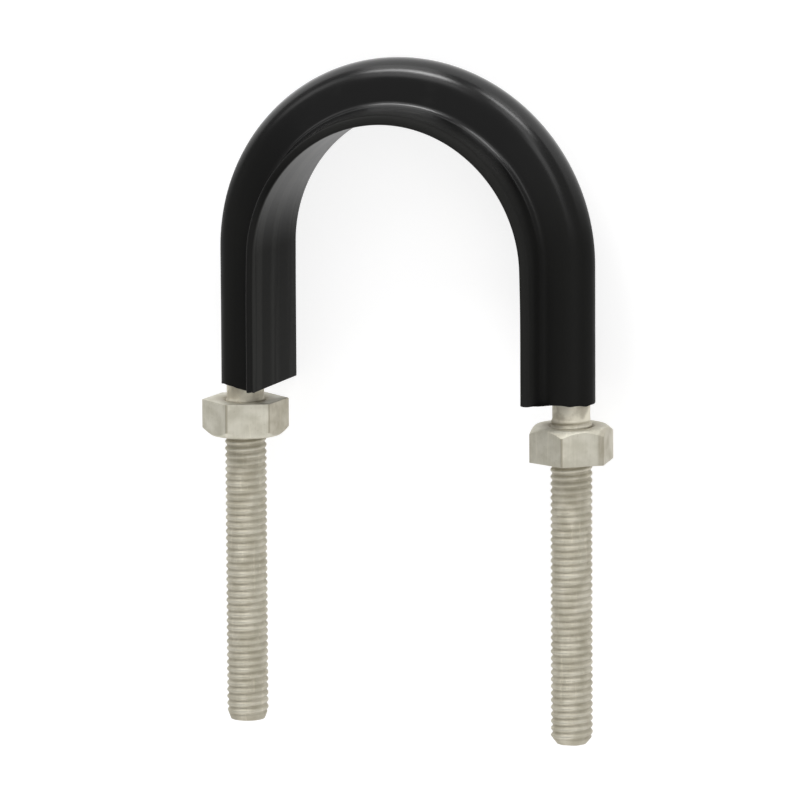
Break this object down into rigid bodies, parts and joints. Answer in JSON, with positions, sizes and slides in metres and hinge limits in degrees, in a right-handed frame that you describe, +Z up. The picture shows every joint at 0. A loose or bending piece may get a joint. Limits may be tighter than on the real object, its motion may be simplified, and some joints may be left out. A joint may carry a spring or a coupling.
{
  "type": "flat u-bolt",
  "caption": "Bent-rod u-bolt with threaded legs and hexagon nuts, its bend covered by a black rubber sleeve with a wide flat seat that holds a pipe against a bracket.",
  "frame": {"origin": "on the axis of the pipe that the seat takes, half way across the seat's width", "axes": "+X across the legs, +Y along the legs towards the crown of the bend, +Z up along the pipe, with the bolt lying on the edges of its seat"},
  "size_m": [0.0967, 0.1531, 0.026],
  "materials": {
    "rod_steel": "satin, rolled thread",
    "nut_steel": "satin",
    "sleeve_rubber": "semi-gloss, moulded"
  },
  "bodies": {
    "bolt": {"u_rod": "rod_steel", "sleeve": "sleeve_rubber"},
    "nut_left": {"nut_left": "nut_steel"},
    "nut_right": {"nut_right": "nut_steel"}
  },
  "joints": [
    {"name": "nut_left_travel", "type": "slide", "parent": "bolt", "child": "nut_left", "axis": [0, -1, 0], "range_m": [0, 0.06509]},
    {"name": "nut_right_travel", "type": "slide", "parent": "bolt", "child": "nut_right", "axis": [0, -1, 0], "range_m": [-0.00159, 0.0635]}
  ]
}
